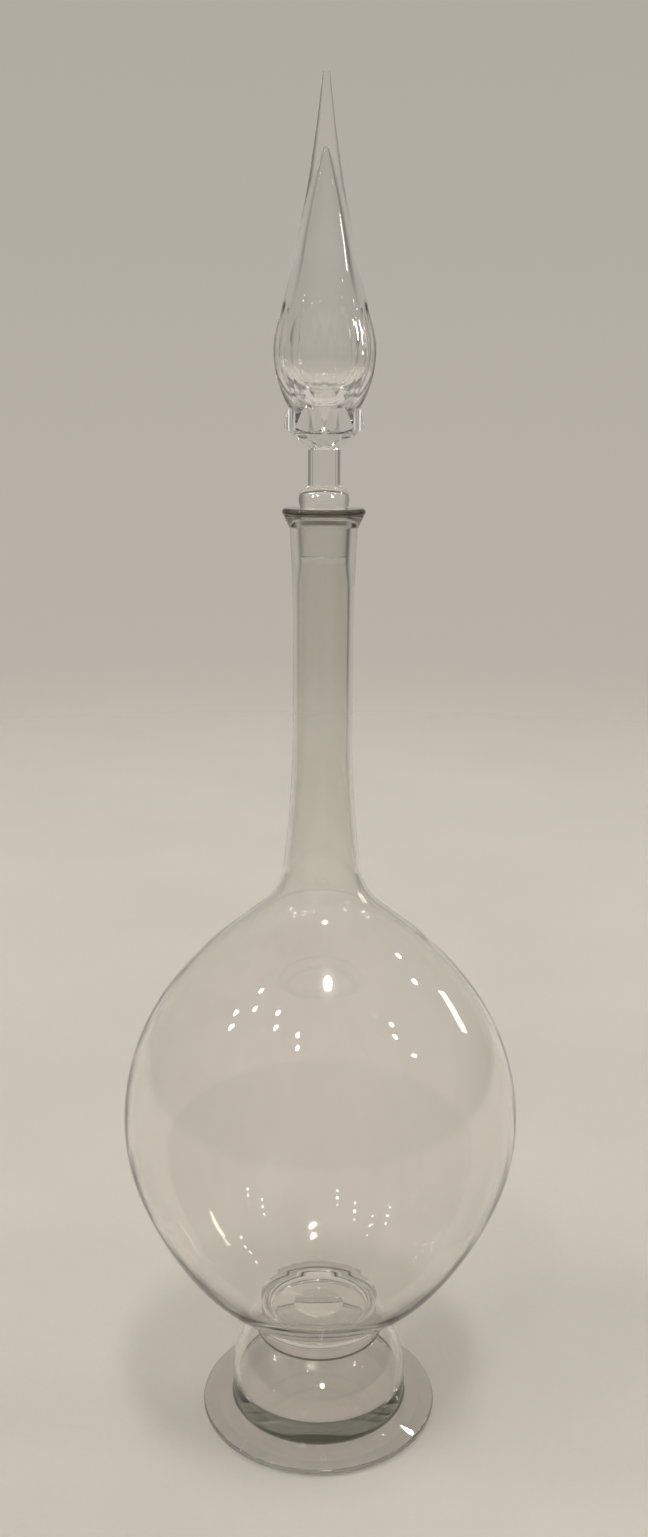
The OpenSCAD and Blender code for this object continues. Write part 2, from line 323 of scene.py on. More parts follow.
def kicked_floor():
    """The inside's floor, with the low kick pushed up in its middle and a soft rim round it."""
    wall = part(inside_down, KICK_R, GLOBE_R, 0)
    rim_r, rim_z = wall[-1][:2]
    curve = (KICK_R**2 + KICK_H**2) / (2 * KICK_H)
    rim = math.degrees(math.asin(KICK_R / curve))
    kick = arc((0, rim_z + KICK_H - curve), curve, 90, 90 - rim)
    kick[0] = (0.0, kick[0][1], 0.0, 1.0)
    kick[-1] = (rim_r, rim_z, *kick[-1][2:])
    return turned_over(wall), kick


inside_wall, kick = kicked_floor()
inside = inside_wall[::-1] + turned_over(inside_up[1:])


def make_globe():
    solid = Solid()
    under = part(outside, 0, WAIST_R - WAIST_DRAW * 0.2, 0)
    under = [p for p in under if p[1] < 100]
    seat_r = under[-1][0]
    inner = part(under, 0, CAVITY_R - FILLET_IN, 0)
    seat = part(under, CAVITY_R - FILLET_IN, seat_r, 0)
    rest = [p for p in part(outside, under[-1][1], NECK_Z) if p[1] > under[-1][1]]
    solid.turned(inner)
    solid.turned(seat, JOINT)
    solid.turned([seat[-1], *rest])
    wall = part(inside, 0, NECK_Z)
    solid.turned(flat_ring(NECK_Z, rest[-1][0], wall[-1][0], 1.0), JOINT)
    solid.turned(wall)
    solid.turned(kick)
    return solid.object("globe_glass")


def make_neck():
    solid = Solid()
    shell = part(outside, NECK_Z, COLLAR_Z)
    bore = part(inside, NECK_Z, 1000)
    throat = [(BORE_R, THROAT_Z - THROAT_H), (socket_r(THROAT_Z), THROAT_Z)]
    bore += line(throat[0], bore[-1][:2], 4)[::-1][1:]
    solid.turned(shell)
    solid.turned(flat_ring(COLLAR_Z, shell[-1][0], socket_r(COLLAR_Z), 1.0), JOINT)
    solid.turned(socket(THROAT_Z, COLLAR_Z), GROUND)
    solid.turned(line(throat[1], throat[0], 3))
    solid.turned(bore)
    solid.turned(flat_ring(NECK_Z, shell[0][0], bore[0][0], -1.0), JOINT)
    return solid.object("neck_glass")


def make_mouth_collar():
    solid = Solid()
    neck_r = NECK_R + flare_w
    bead_r = LIP_R - (LIP_TOP_Z - LIP_Z) / 2
    edge_r = COLLAR_LOW_R - COLLAR_EASE
    edge = arc((edge_r, COLLAR_Z + COLLAR_EASE), COLLAR_EASE, -90, 12)
    solid.turned(flat_ring(COLLAR_Z, socket_r(COLLAR_Z), neck_r, -1.0), JOINT)
    solid.turned([*flat_ring(COLLAR_Z, neck_r, edge_r, -1.0), *edge[1:]])
    solid.turned(line(edge[-1][:2], (COLLAR_TOP_R, LIP_Z), 4))
    solid.turned(flat_ring(LIP_Z, COLLAR_TOP_R, bead_r, 1.0))
    solid.turned(flat_ring(LIP_Z, bead_r, socket_r(LIP_Z), 1.0), JOINT)
    solid.turned(socket(COLLAR_Z, LIP_Z), GROUND)
    return solid.object("mouth_collar_glass")


def make_lip_ring():
    solid = Solid()
    half = (LIP_TOP_Z - LIP_Z) / 2
    bead_r, mouth_r, ease = LIP_R - half, socket_r(LIP_TOP_Z), MOUTH_EASE
    solid.turned(flat_ring(LIP_Z, socket_r(LIP_Z), bead_r, -1.0), JOINT)
    bead = arc((bead_r, LIP_Z + half), half, -90, 90)
    top = flat_ring(LIP_TOP_Z, bead_r, mouth_r + ease, 1.0, 2)
    brim = arc((mouth_r + ease, LIP_TOP_Z - ease), ease, 90, 180)
    solid.turned(bead)
    solid.turned([*top, *brim[1:]], OTHER)
    solid.turned(line(brim[-1][:2], (socket_r(LIP_Z), LIP_Z), 2), GROUND)
    return solid.object("lip_ring_glass")


# ---- Pedestal ----------------------------------------------------------------------------------

KNOP_C = (KNOP_R - KNOP_ROUND, KNOP_WIDE_Z)
EDGE_R = KNOP_C[0] + math.sqrt(KNOP_ROUND**2 - (KNOP_WIDE_Z - DISC_TOP_Z) ** 2)
CAVITY_LOW_R = KNOP_C[0] + math.sqrt(
    (KNOP_ROUND - KNOP_WALL) ** 2 - (KNOP_WIDE_Z - DISC_TOP_Z) ** 2
)
CAVITY_R = WAIST_R - KNOP_WALL
KNOP_TOP_R = KNOP_C[0] + math.sqrt(KNOP_ROUND**2 - (WAIST_Z - KNOP_WIDE_Z) ** 2)
FILLET, FILLET_IN = 1.0, 10.0
WAIST_TALL = 24.0
DRAW_CURVE = ((WAIST_TALL / 2) ** 2 + WAIST_DRAW**2) / (2 * WAIST_DRAW)
draw_spread = math.degrees(math.asin(WAIST_TALL / 2 / DRAW_CURVE))
draw_centre = (WAIST_R - WAIST_DRAW + DRAW_CURVE, WAIST_Z + WAIST_TALL / 2)
drawn = arc(draw_centre, DRAW_CURVE, 180 + draw_spread, 180 - draw_spread, -1.0)
WAIST_FOOT_R = next(p for p in drawn if p[1] > WAIST_Z + CREASE_R)[0] - CREASE_R


def make_foot():
    solid = Solid()
    half = FOOT_RIM_H / 2
    slope = math.degrees(math.atan2(CROWN_Z - FOOT_RIM_H, FOOT_R - half - EDGE_R))
    rim = arc((FOOT_R - half, half), half, -90, 90 - slope)
    crown = line(rim[-1][:2], (EDGE_R + FILLET, CROWN_Z), 8)
    solid.turned([*rim, *crown[1:]])
    solid.turned(flat_ring(CROWN_Z, EDGE_R + FILLET, 0.0, 1.0, 3), JOINT)
    curve = (RING_R**2 + HOLLOW**2) / (2 * HOLLOW)
    spread = math.degrees(math.asin(RING_R / curve))
    under = arc((0, HOLLOW - curve), curve, 90, 90 - spread, -1.0)
    under[0] = (0.0, HOLLOW, 0.0, -1.0)
    solid.turned(under)
    solid.turned(flat_ring(0.0, RING_R, FOOT_R - half, -1.0, 3), GROUND)
    return solid.object("foot_glass")


def make_base_disc():
    solid = Solid()
    half = (DISC_TOP_Z - CROWN_Z) / 2
    curve = (half**2 + DISC_SWELL**2) / (2 * DISC_SWELL)
    spread = math.degrees(math.asin(half / curve))
    swell = arc((EDGE_R + DISC_SWELL - curve, CROWN_Z + half), curve, -spread, spread)
    fillet = arc((EDGE_R + FILLET, CROWN_Z + FILLET), FILLET, -90, -180, -1.0)
    wall = [p for p in swell if p[1] > CROWN_Z + FILLET]
    solid.turned(flat_ring(CROWN_Z, 0.0, EDGE_R + FILLET, -1.0, 3), JOINT)
    solid.turned([*fillet, *wall])
    solid.turned(flat_ring(DISC_TOP_Z, EDGE_R, CAVITY_LOW_R, 1.0), JOINT)
    solid.turned(flat_ring(DISC_TOP_Z, CAVITY_LOW_R, 0.0, 1.0, 6), OTHER)
    return solid.object("base_disc_glass")


def make_knop():
    solid = Solid()
    inner = KNOP_ROUND - KNOP_WALL
    low = math.degrees(math.asin((DISC_TOP_Z - KNOP_WIDE_Z) / KNOP_ROUND))
    high = math.degrees(math.asin((WAIST_Z - KNOP_WIDE_Z) / KNOP_ROUND))
    cavity_low = math.degrees(math.asin((DISC_TOP_Z - KNOP_WIDE_Z) / inner))
    cavity_high = math.degrees(math.acos((CAVITY_R - KNOP_C[0]) / inner))
    cavity = arc(KNOP_C, inner, cavity_high, cavity_low, -1.0)
    solid.turned(arc(KNOP_C, KNOP_ROUND, low, high))
    # The knop's top shelf round the waist takes the dark crease glass, a painted shade.
    solid.turned(flat_ring(WAIST_Z, KNOP_TOP_R, WAIST_FOOT_R, 1.0), OTHER)
    solid.turned(flat_ring(WAIST_Z, WAIST_FOOT_R, CAVITY_R, 1.0), JOINT)
    solid.turned(line((CAVITY_R, WAIST_Z), cavity[0][:2], 1))
    solid.turned(cavity)
    solid.turned(flat_ring(DISC_TOP_Z, CAVITY_LOW_R, EDGE_R, -1.0), JOINT)
    return solid.object("knop_glass")


def make_waist():
    solid = Solid()
    inner = CAVITY_R - FILLET_IN
    under = [p for p in part(outside, inner, WAIST_R - WAIST_DRAW * 0.2, 0) if p[1] < 100]
    seat = turned_over(under)
    shell = [p for p in drawn if WAIST_Z + CREASE_R < p[1] < seat[-1][1] - 0.3]
    last = shell[-1]
    shell.append((seat[-1][0], seat[-1][1], last[2], last[3]))
    foot_c = (shell[0][0] - CREASE_R, WAIST_Z + CREASE_R)
    solid.turned(flat_ring(WAIST_Z, CAVITY_R, foot_c[0], -1.0), JOINT)
    crease = arc(foot_c, CREASE_R, -90, 0)
    # The crease takes the dark crease glass, a painted shade.
    solid.turned(crease, OTHER)
    solid.turned([crease[-1], *shell])
    solid.turned(seat, JOINT)
    corner_z = [p for p in under if p[0] >= CAVITY_R][0][1]
    solid.turned(bend(seat[0][:2], (CAVITY_R, corner_z), (CAVITY_R, corner_z - FILLET_IN)))
    solid.turned(line((CAVITY_R, corner_z - FILLET_IN), (CAVITY_R, WAIST_Z), 2))
    return solid.object("waist_glass")


# ---- Stopper -----------------------------------------------------------------------------------

SHOULDER_WIDE_Z, SHOULDER_LOW_Z = LIP_TOP_Z + 5.5, LIP_TOP_Z + 0.4
shoulder_up = outline((SHOULDER_R, SHOULDER_WIDE_Z), [SHOULDER_CURVE], 1)
STEM_Z = shoulder_up[-1][1]


def make_ground_plug():
    solid = Solid()
    edge = PLUG_EASE
    bottom = flat_ring(PLUG_Z, 0.0, PLUG_LOW_R - edge, -1.0, 3)
    rounding = arc((PLUG_LOW_R - edge, PLUG_Z + edge), edge, -90, 0)
    solid.turned([*bottom, *rounding[1:]])
    cone = line(rounding[-1][:2], (PLUG_TOP_R, LIP_TOP_Z), 6)
    solid.turned(cone, GROUND)
    solid.turned(line((PLUG_TOP_R, LIP_TOP_Z), (SHOULDER_LOW_R, SHOULDER_LOW_Z)))
    solid.turned(flat_ring(SHOULDER_LOW_Z, SHOULDER_LOW_R, 0.0, 1.0, 3), JOINT)
    return solid.object("ground_plug_glass")


def cut_ring(z, half, corner_r):
    """An eight-sided ring with fine bevels: "half" is a panel's half angle in degrees."""
    ring = []
    for k in range(SIDES):
        mid = math.radians(360 / SIDES * (k + 0.5))
        for i in range(ACROSS + 1):
            a = math.radians(-half + 2 * half * i / ACROSS)
            r = corner_r * FLAT / math.cos(a)
            x, y = r * math.cos(mid + a), r * math.sin(mid + a)
            ring.append(((x, y, z), (math.cos(mid), math.sin(mid), 0.0)))
    return ring


def make_stopper_shoulder():
    solid = Solid()
    drop, inset = SHOULDER_WIDE_Z - SHOULDER_LOW_Z, SHOULDER_R - SHOULDER_LOW_R
    low_curve = (drop**2 + inset**2) / (2 * inset)
    lean = math.degrees(math.asin(drop / low_curve))
    down = outline((SHOULDER_R, SHOULDER_WIDE_Z), [(low_curve, lean)], -1)
    solid.turned(flat_ring(SHOULDER_LOW_Z, 0.0, SHOULDER_LOW_R, -1.0, 3), JOINT)
    solid.turned(side(down, shoulder_up))
    top = shoulder_up[-1]
    rim = turned_ring(top[0], STEM_Z, 0.0, 1.0)
    seat = []
    for i in range(AROUND):
        a = 2 * math.pi * i / AROUND
        off = (math.degrees(a) % (360 / SIDES)) - 180 / SIDES
        r = (STEM_R - 0.05) * FLAT / math.cos(math.radians(off))
        seat.append(((r * math.cos(a), r * math.sin(a), STEM_Z), (0.0, 0.0, 1.0)))
    solid.loops([rim, seat], GLASS)
    solid.loops([seat, [((0.0, 0.0, STEM_Z), (0.0, 0.0, 1.0))]], JOINT)
    return solid.object("stopper_shoulder_glass")


def panels_and_bevels(solid, rings):
    """Joins cut rings: each panel keeps its own normals, and so does the bevel beside it."""
    per = len(rings[0]) // SIDES
    for a, b in zip(rings, rings[1:]):
        for k in range(SIDES):
            for i in range(per - 1):
                j = k * per + i
                solid.face([a[j], a[j + 1], b[j + 1], b[j]], GLASS)
            j, n = k * per + per - 1, (k * per + per) % len(a)
            mid = math.radians(360 / SIDES * (k + 1))
            nz = (a[j][1][2] + b[j][1][2]) / 2
            nr = math.sqrt(max(0.0, 1 - nz * nz))
            bevel = (nr * math.cos(mid), nr * math.sin(mid), nz)
            corners = [a[j], a[n], b[n], b[j]]
            solid.face([(p, bevel) for p, _ in corners], GLASS)


def make_stem():
    solid = Solid()
    half = 180 / SIDES - BEVEL_STEM
    tall = STEM_TOP_Z - STEM_Z
    rings = [cut_ring(STEM_Z + tall * t, half, STEM_R) for t in (0, 0.25, 0.5, 0.75, 1)]
    panels_and_bevels(solid, rings)
    for ring, way in ((rings[0], -1.0), (rings[-1], 1.0)):
        z = ring[0][0][2]
        solid.loops([cap_ring(ring, way), [((0.0, 0.0, z), (0.0, 0.0, way))]], JOINT)
    return solid.object("stem_glass")


def unit(r, z):
    """The same direction with the length 1."""
    size = math.hypot(r, z)
    return r / size, z / size


def flute_r(off, centre, curve):
    """Distance from the axis to a flute's wall, at an angle "off" from the flute's middle."""
    return centre * math.cos(off) - math.sqrt(curve**2 - (centre * math.sin(off)) ** 2)


def make_cut_flange():
    """A turned flange whose sharp edge is cut into eight points by hollow flutes."""
    solid = Solid()
    half = FLANGE_R * math.sin(math.pi / SIDES) - POINT_HALF
    curve = (half**2 + FLUTE_DEPTH**2) / (2 * FLUTE_DEPTH)
    centre = FLANGE_R * FLAT - FLUTE_DEPTH + curve
    profile = [
        (STEM_R, STEM_TOP_Z),
        (THROAT_R, FLANGE_LOW_Z),
        (FLANGE_R - GIRDLE / 2, FLANGE_EDGE_Z - GIRDLE),
        (FLANGE_R, FLANGE_EDGE_Z),
        (FLANGE_TOP_R, SPIRE_Z),
    ]
    deepest = flute_r(0.0, centre, curve)
    levels = []
    for (r0, z0), (r1, z1) in zip(profile, profile[1:]):
        n = max(2, round(math.hypot(r1 - r0, z1 - z0) / 0.8))
        lean = unit(z1 - z0, r0 - r1)
        levels.append(
            [(r0 + (r1 - r0) * i / n, z0 + (z1 - z0) * i / n, *lean) for i in range(n + 1)]
        )
    for band in levels:
        rings = []
        for r, z, nr, nz in band:
            meet = 0.0
            if r > deepest:
                low, high = 0.0, math.pi / SIDES
                for _ in range(40):
                    meet = (low + high) / 2
                    if flute_r(meet, centre, curve) < r:
                        low = meet
                    else:
                        high = meet
            sector = []
            for k in range(SIDES):
                mid = 2 * math.pi / SIDES * (k + 0.5)
                for i in range(-FLUTE_STEPS, FLUTE_STEPS + 1):
                    off = meet * i / FLUTE_STEPS
                    wall = min(r, flute_r(off, centre, curve)) if meet else r
                    c, s = math.cos(mid + off), math.sin(mid + off)
                    fx = centre * math.cos(mid) - wall * c
                    fy = centre * math.sin(mid) - wall * s
                    size = math.hypot(fx, fy)
                    sector.append(((wall * c, wall * s, z), (fx / size, fy / size, 0.0)))
                for i in range(1, LAND_STEPS + 1):
                    off = meet + (2 * math.pi / SIDES - 2 * meet) * i / (LAND_STEPS + 1)
                    c, s = math.cos(mid + off), math.sin(mid + off)
                    sector.append(((r * c, r * s, z), (nr * c, nr * s, nz)))
            rings.append((sector, meet, (nr, nz)))
        flange_band(solid, rings)
    return finish_cut_flange(solid)


def flange_band(solid, rings):
    """Joins the flange's rings: flute walls with the flute's normals, the rest as turned."""
    per = 2 * FLUTE_STEPS + 1 + LAND_STEPS
    for (a, ma, na), (b, mb, _) in zip(rings, rings[1:]):
        for k in range(SIDES):
            for i in range(per):
                j, n = k * per + i, (k * per + i + 1) % (per * SIDES)
                quad = [a[j], a[n], b[n], b[j]]
                if i >= 2 * FLUTE_STEPS:
                    quad = [(p, turned_normal(p, na)) for p, _ in quad]
                elif max(ma, mb) == 0:
                    continue
                solid.face(quad, GLASS)


def turned_normal(p, n):
    """The turned surface's normal at a point, from the outline's normal."""
    size = math.hypot(p[0], p[1])
    return (n[0] * p[0] / size, n[0] * p[1] / size, n[1])


def finish_cut_flange(solid):
    """Closes the flange's two level faces, which are fused to the stem and to the spire."""
    for z, way in ((STEM_TOP_Z, -1.0), (SPIRE_Z, 1.0)):
        ring = sorted(
            (math.atan2(y, x), (x / MM, y / MM, z))
            for x, y, h in solid.verts
            if abs(h / MM - z) < MERGE
        )
        rim = [(p, (0.0, 0.0, way)) for _, p in ring]
        solid.loops([rim, [((0.0, 0.0, z), (0.0, 0.0, way))]], JOINT)
    return solid.object("cut_flange_glass")


SPIRE_LEVELS = 128
RUN_ON = 30  # how far an outline runs on past the spire's end, in millimetres
CORNER_DOWN, CORNER_UP = [(66, 31.5), (0, 31.5, RUN_ON)], [(42, 15.5), (-920, 6), (0, 6, RUN_ON)]
PANEL_DOWN = [(63.5, 32.9), (0, 32.9, RUN_ON)]
PANEL_UP = [(1, 9.8), (0, 9.8, TIP_Z - SPIRE_WIDE_Z)]
BUBBLE_DOWN, BUBBLE_UP = [(26, 40)], [(80, 20.2), (-164, 8.6), (577, 14.5)]
corner_start, panel_start = (SPIRE_R, SPIRE_WIDE_Z), (PANEL_R, SPIRE_WIDE_Z)
corner_side = side(outline(corner_start, CORNER_DOWN, -1), outline(corner_start, CORNER_UP, 1))
panel_side = side(outline(panel_start, PANEL_DOWN, -1), outline(panel_start, PANEL_UP, 1))


def at_height(points, z):
    """The outline's point at one height."""
    for a, b in zip(points, points[1:]):
        if a[1] <= z <= b[1]:
            return blend_points(a, b, (z - a[1]) / (b[1] - a[1]) if b[1] > a[1] else 0.0)
    raise ValueError(f"the outline doesn't reach height {z}")


def make_spire():
    """The cut spire: flat-sided panels with fine bevels, which run out into a round tip."""
    solid = Solid()
    widest = 180 / SIDES - BEVEL_SPIRE
    tall = TIP_Z - TIP_EASE - SPIRE_Z
    heights = [SPIRE_Z + tall * i / SPIRE_LEVELS for i in range(SPIRE_LEVELS + 1)]
    rings = []
    for z in heights:
        turned, panel = at_height(corner_side, z), at_height(panel_side, z)
        ratio = panel[0] / turned[0]
        half = min(widest, math.degrees(math.acos(ratio))) if ratio < 1 else 0.0
        ring = []
        for k in range(SIDES):
            mid = math.radians(360 / SIDES * (k + 0.5))
            flat_normal = (panel[2] * math.cos(mid), panel[2] * math.sin(mid), panel[3])
            for i in range(ACROSS + 1):
                a = math.radians(half * (2 * i / ACROSS - 1))
                r = min(panel[0] / math.cos(a), turned[0])
                p = (r * math.cos(mid + a), r * math.sin(mid + a), z)
                ring.append((p, flat_normal))
            edge_r = min(panel[0] / math.cos(math.radians(half)), turned[0])
            for i in range(1, ROUND_STEPS):
                a = math.radians(half + (360 / SIDES - 2 * half) * i / ROUND_STEPS)
                c, s = math.cos(mid + a), math.sin(mid + a)
                normal = (turned[2] * c, turned[2] * s, turned[3])
                ring.append(((edge_r * c, edge_r * s, z), normal))
        rings.append((ring, half, (turned[2], turned[3])))
    per = ACROSS + ROUND_STEPS
    for (a, ha, na), (b, hb, nb) in zip(rings, rings[1:]):
        for k in range(SIDES):
            for i in range(per):
                j, m = k * per + i, (k * per + i + 1) % (per * SIDES)
                quad = [a[j], a[m], b[m], b[j]]
                if i >= ACROSS:
                    normals = [na, na, nb, nb]
                    quad = [(p, turned_normal(p, t)) for (p, _), t in zip(quad, normals)]
                elif max(ha, hb) == 0:
                    continue
                solid.face(quad, GLASS)
    low = rings[0][0]
    solid.loops([cap_ring(low, -1.0), [((0.0, 0.0, SPIRE_Z), (0.0, 0.0, -1.0))]], JOINT)
    unique = []
    for p, normal in rings[-1][0]:
        if not unique or (Vector(p) - Vector(unique[-1][0])).length > 1e-4:
            unique.append((p, normal))
    r = math.hypot(*unique[0][0][:2])
    draw_in = 1 - TIP_INSET / r
    cap = [((p[0] * draw_in, p[1] * draw_in, TIP_Z), (0, 0, 1.0)) for p, _ in unique]
    ease, ease_top = (
        [(p, tuple(Vector((p[0] / r, p[1] / r, 0.8)).normalized())) for p, _ in ring]
        for ring in (unique, cap)
    )
    solid.loops([ease, ease_top], GLASS)
    solid.loops([cap, [((0.0, 0.0, TIP_Z), (0.0, 0.0, 1.0))]], GLASS)
    start = (BUBBLE_R, BUBBLE_WIDE_Z)
    bubble = side(capped(start, BUBBLE_DOWN, -1), capped(start, BUBBLE_UP, 1))
    solid.turned(turned_over(bubble))
    return solid.object("spire_glass")


# ---- Materials ---------------------------------------------------------------------------------


class Net:
    """Short names for making a node tree."""

    def __init__(self, tree):
        self.tree = tree
        tree.nodes.clear()

    def add(self, kind, *links, **settings):
        """A node, with "links" put into its first inputs: an output is linked, a value is set."""
        node = self.tree.nodes.new(kind)
        named = settings.pop("inputs", {})
        for key, value in settings.items():
            setattr(node, key, value)
        wanted = [*zip(node.inputs, links), *((node.inputs[k], v) for k, v in named.items())]
        for socket, value in wanted:
            if value is None:
                continue
            if isinstance(value, bpy.types.NodeSocket):
                self.tree.links.new(value, socket)
            else:
                socket.default_value = value
        return node

    def math(self, operation, *values):
        return self.add("ShaderNodeMath", *values, operation=operation).outputs[0]

    def vector(self, operation, *values):
        node = self.add("ShaderNodeVectorMath", *values, operation=operation)
        return node.outputs["Value" if operation == "DOT_PRODUCT" else "Vector"]

    def noise(self, where, scale, detail=2.0, rough=0.5):
        return self.add(
            "ShaderNodeTexNoise",
            inputs={"Vector": where, "Scale": scale, "Detail": detail, "Roughness": rough},
        ).outputs["Fac"]

    def ramp(self, value, low, high, out_low=0.0, out_high=1.0):
        limits = (low, high, out_low, out_high)
        kind = {"interpolation_type": "SMOOTHSTEP"}
        return self.add("ShaderNodeMapRange", value, *limits, **kind).outputs[0]

    def mix(self, factor, a, b):
        node = self.add("ShaderNodeMix", data_type="RGBA")
        for socket, value in zip((node.inputs[0], node.inputs[6], node.inputs[7]), (factor, a, b)):
            if isinstance(value, bpy.types.NodeSocket):
                self.tree.links.new(value, socket)
            else:
                socket.default_value = value
        return node.outputs[2]


def place(net, stretch=(1, 1, 1)):
    """Where a point lies on the object, in metres, stretched along its axes."""
    here = net.add("ShaderNodeTexCoord").outputs["Object"]
    return net.vector("MULTIPLY", here, stretch)


# Noises: scale in waves a metre, then a factor on the height, where a small one draws it out
CAST, STREAK, SLOW_WAVE, DRAWN_WAVE = (14, 0.35), (90, 0.06), (16, 0.6), (70, 0.12)
SEEDS, SEED_EDGE, SEED_DEPTH = (70.0, 0.6), (0.03, 0.06), 0.02
GRAIN, WORN, GRIND_RINGS, GRIND_STRETCH = 900, 60, 1400, 0.03


def glass(name, clear, deep, wave, ior=1.5, neck=None):
    """Fire-polished glass: a faint drifting cast, drawn streaks, seeds and a slow wave.

    "neck" is (low, high, colours): the darker colours that the glass fades into between two heights
    and keeps above them, a painted shade on the neck.
    """
    material = bpy.data.materials.new(name)
    material.use_nodes = True
    net = Net(material.node_tree)
    cast = net.noise(place(net, (1, 1, CAST[1])), CAST[0], 3)
    streak = net.noise(place(net, (1, 1, STREAK[1])), STREAK[0], 2)
    tone = net.math("MULTIPLY_ADD", streak, 0.35, net.math("MULTIPLY", cast, 0.65))
    colour = net.mix(net.ramp(tone, 0.35, 0.65), (*clear, 1), (*deep, 1))
    if neck:
        low, high, colours = neck
        # Painted shade: the neck's darker colours, faded in by height.
        above = net.add("ShaderNodeSeparateXYZ", place(net)).outputs[2]
        neck_shade_colour = net.mix(net.ramp(tone, 0.3, 0.7), *((*c, 1) for c in colours))
        colour = net.mix(net.ramp(above, low, high), colour, neck_shade_colour)
    slow = net.noise(place(net, (1, 1, SLOW_WAVE[1])), SLOW_WAVE[0], 2)
    drawn = net.noise(place(net, (1, 1, DRAWN_WAVE[1])), DRAWN_WAVE[0], 1)
    seeds = net.add(
        "ShaderNodeTexVoronoi", inputs={"Vector": place(net, (1, 1, SEEDS[1])), "Scale": SEEDS[0]}
    ).outputs["Distance"]
    seed = net.ramp(seeds, *SEED_EDGE, 1.0, 0.0)
    height = net.math("MULTIPLY_ADD", drawn, 0.12, slow)
    height = net.math("MULTIPLY_ADD", seed, SEED_DEPTH, height)
    bump = net.add(
        "ShaderNodeBump", inputs={"Strength": 1.0, "Distance": wave, "Height": height}
    ).outputs[0]
    shader = net.add(
        "ShaderNodeBsdfPrincipled",
        inputs={
            "Base Color": colour,
            "Roughness": 0.0,
            "IOR": ior,
            "Transmission Weight": 1.0,
            "Normal": bump,
        },
    )
    net.add("ShaderNodeOutputMaterial", shader.outputs[0])
    return material


def ground(name, tint, low, high, grain_depth=0.0002):
    """Ground glass: a fine matt grain, with the rings that the grinding leaves."""
    material = bpy.data.materials.new(name)
    material.use_nodes = True
    net = Net(material.node_tree)
    grain = net.noise(place(net), GRAIN, 3, 0.7)
    rings = net.noise(place(net, (GRIND_STRETCH, GRIND_STRETCH, 1)), GRIND_RINGS, 2)
    worn = net.noise(place(net), WORN, 2)
    rough = net.math("MULTIPLY_ADD", rings, 0.25, net.math("MULTIPLY", worn, 0.75))
    rough = net.ramp(rough, 0.35, 0.65, low, high)
    height = net.math("MULTIPLY_ADD", rings, 0.6, grain)
    bump = net.add(
        "ShaderNodeBump", inputs={"Strength": 0.35, "Distance": grain_depth, "Height": height}
    ).outputs[0]
    colour = net.mix(net.ramp(grain, 0.3, 0.7), (*tint, 1), (0.97, 0.97, 0.96, 1))
    shader = net.add(
        "ShaderNodeBsdfPrincipled",
        inputs={
            "Base Color": colour,
            "Roughness": rough,
            "IOR": 1.5,
            "Transmission Weight": 1.0,
            "Normal": bump,
        },
    )
    net.add("ShaderNodeOutputMaterial", shader.outputs[0])
    return material


def fused():
    """The face where two gathers are fused: the glass runs on, so light passes unbent."""
    material = bpy.data.materials.new("fused_face")
    material.use_nodes = True
    net = Net(material.node_tree)
    net.add("ShaderNodeOutputMaterial", net.add("ShaderNodeBsdfTransparent").outputs[0])
    return material


CLEAR, DEEP = (0.985, 0.98, 0.97), (0.96, 0.95, 0.935)
# The blown glass is painted darker from the globe's shoulder up into the neck and collar: a painted
# shade.
NECK_SHADE = (0.34, 0.47, ((0.95, 0.945, 0.92), (0.86, 0.86, 0.83)))
blown = glass("blown_glass", CLEAR, DEEP, 0.0002, neck=NECK_SHADE)
smooth = glass("pressed_glass", CLEAR, DEEP, 0.00004)
# Dark green-grey glass for the base disc's side band: partly the green of the thick glass, partly
# painted shade that hides the light let in through its top.
thick_and_shaded = glass("thick_glass", (0.17, 0.18, 0.145), (0.12, 0.13, 0.105), 0.00003)
# Nearly black glass for the lip's bead: a painted shade for the dark band round the lip.
lip_shade = glass("lip_shade_glass", (0.06, 0.055, 0.035), (0.04, 0.035, 0.025), 0.0001)
# Dark glass for the knop's top shelf and the curve at the waist's foot: a painted shade in the
# crease between waist and knop.
crease_shade = glass("crease_shade_glass", (0.20, 0.19, 0.16), (0.13, 0.125, 0.10), 0.00003)
cut = glass("cut_glass", (0.99, 0.99, 0.985), (0.965, 0.965, 0.96), 0.00004, 1.53)
socket_ground = ground("ground_socket", (0.95, 0.95, 0.94), 0.04, 0.10, 0.0001)
plug_ground = ground("ground_plug", (0.95, 0.95, 0.94), 0.05, 0.12, 0.0001)
worn_ring = ground("worn_standing_ring", (0.94, 0.935, 0.92), 0.05, 0.25, 0.00003)
fused_face = fused()

# ---- Pieces ------------------------------------------------------------------------------------

PIECES = {  # body: (maker, node, slot, materials in the order of the material slots)
    "bottle": [
        (make_foot, "foot", "blown_glass", (smooth, fused_face, worn_ring)),
        (make_base_disc, "base_disc", "thick_glass", (thick_and_shaded, fused_face, worn_ring, smooth)),
        (make_knop, "knop", "blown_glass", (blown, fused_face, worn_ring, crease_shade)),
        (make_waist, "waist", "blown_glass", (blown, fused_face, worn_ring, crease_shade)),
        (make_globe, "globe", "blown_glass", (blown, fused_face)),
        (make_neck, "neck", "blown_glass", (blown, fused_face, socket_ground)),
        (make_mouth_collar, "mouth_collar", "blown_glass", (blown, fused_face, socket_ground)),
        (make_lip_ring, "lip_ring", "thick_glass", (lip_shade, fused_face, socket_ground, blown)),
    ],
    "stopper": [
        (make_ground_plug, "ground_plug", "ground_glass", (cut, fused_face, plug_ground)),
        (make_stopper_shoulder, "stopper_shoulder", "cut_glass", (cut, fused_face)),
        (make_stem, "stem", "cut_glass", (cut, fused_face)),
        (make_cut_flange, "cut_flange", "cut_glass", (cut, fused_face)),
        (make_spire, "spire", "cut_glass", (cut, fused_face)),
    ],
}

